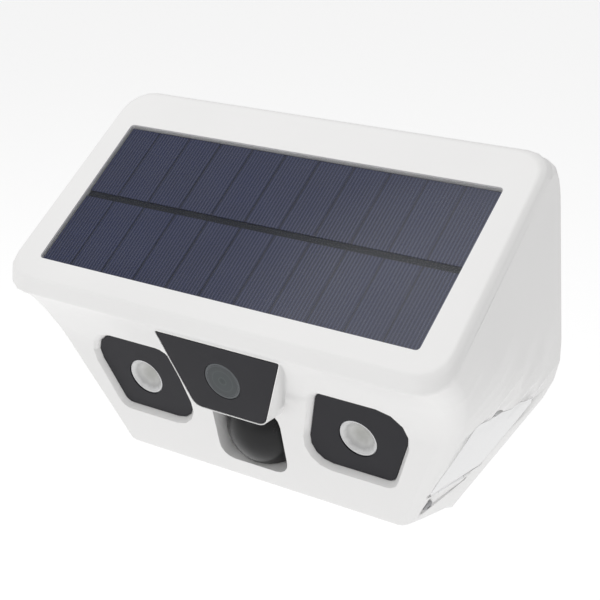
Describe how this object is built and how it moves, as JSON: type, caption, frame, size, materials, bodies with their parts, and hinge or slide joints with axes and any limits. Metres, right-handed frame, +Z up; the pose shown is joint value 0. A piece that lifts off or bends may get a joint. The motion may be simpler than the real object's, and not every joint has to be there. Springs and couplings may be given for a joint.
{
  "type": "solar-powered security camera",
  "caption": "Wall-mounted solar security camera: a white wedge housing with a sloping solar panel, a dark camera window between two spotlights, a sensor dome and a service door.",
  "frame": {"origin": "middle of the wall plate's back face, where it meets the wall", "axes": "+Z up, front towards -Y, +X to the right as the camera is seen from the front with the service door on the +X side"},
  "size_m": [0.2562, 0.1085, 0.1908],
  "materials": {
    "white_plastic": "fine satin moulded",
    "charcoal_plastic": "satin charcoal",
    "clear_plastic": "clear",
    "cell_navy": "solar cell",
    "circuit_green": "solder mask",
    "aluminium": "plain",
    "seal_rubber": "soft",
    "black_plastic": "satin",
    "screw_steel": "zinc plated",
    "led_amber": "phosphor",
    "battery_sleeve": "shrink sleeve"
  },
  "bodies": {
    "wall_bracket": {"wall_plate": "screw_steel"},
    "camera": {"front_housing": "white_plastic", "rear_cover": "white_plastic", "hinge_leaf": "white_plastic", "camera_window": "charcoal_plastic", "spotlight_bezel_left": "charcoal_plastic", "spotlight_bezel_right": "charcoal_plastic", "panel_cover_sheet": "clear_plastic", "lens_window": "clear_plastic", "lens_glass": "clear_plastic", "spotlight_lens_left": "clear_plastic", "spotlight_lens_right": "clear_plastic", "cells_upper": "cell_navy", "cells_lower": "cell_navy", "panel_board": "circuit_green", "camera_board": "circuit_green", "motion_sensor_board": "circuit_green", "main_board": "circuit_green", "port_board": "circuit_green", "spotlight_board_left": "aluminium", "spotlight_board_right": "aluminium", "spotlight_heat_sink_left": "aluminium", "spotlight_heat_sink_right": "aluminium", "cover_seal": "seal_rubber", "door_seal": "seal_rubber", "window_seal": "seal_rubber", "sensor_dome": "black_plastic", "lens_barrel": "black_plastic", "lens_mount": "black_plastic", "image_sensor": "black_plastic", "battery_cradle": "black_plastic", "reset_switch": "black_plastic", "aerial": "black_plastic", "panel_adhesive": "black_plastic", "cover_screw_1": "screw_steel", "cover_screw_2": "screw_steel", "cover_screw_3": "screw_steel", "cover_screw_4": "screw_steel", "motion_sensor_can": "screw_steel", "radio_shield": "screw_steel", "usb_socket": "screw_steel", "card_reader": "screw_steel", "power_switch": "screw_steel", "hinge_pin": "screw_steel", "door_screw": "screw_steel", "spotlight_led_left": "led_amber", "spotlight_led_right": "led_amber", "battery_cell_1": "battery_sleeve", "battery_cell_2": "battery_sleeve", "battery_cell_3": "battery_sleeve"},
    "door": {"service_door": "white_plastic"},
    "switch_slider": {"switch_knob": "white_plastic"},
    "button": {"reset_button": "white_plastic"},
    "card": {"memory_card": "black_plastic"}
  },
  "joints": [
    {"name": "lift_off", "type": "slide", "parent": "wall_bracket", "child": "camera", "axis": [0, 0, 1], "range_m": [0, 0.008]},
    {"name": "service_door_hinge", "type": "hinge", "parent": "camera", "child": "door", "pos_m": [0.09409, -0.04242, -0.04621], "axis": [0.0869, 0.9951, -0.0472], "range_deg": [0, 100]},
    {"name": "power_slide", "type": "slide", "parent": "camera", "child": "switch_slider", "axis": [0.0869, 0.9951, -0.0472], "range_m": [0, 0.003]},
    {"name": "reset_press", "type": "slide", "parent": "camera", "child": "button", "axis": [-0.8746, 0.0989, 0.4746], "range_m": [0, 0.0006], "stiffness_N_per_m": 400, "springref_m": -0.0002},
    {"name": "card_slide", "type": "slide", "parent": "camera", "child": "card", "axis": [0.8746, -0.0989, -0.4746], "range_m": [0, 0.0018]}
  ]
}
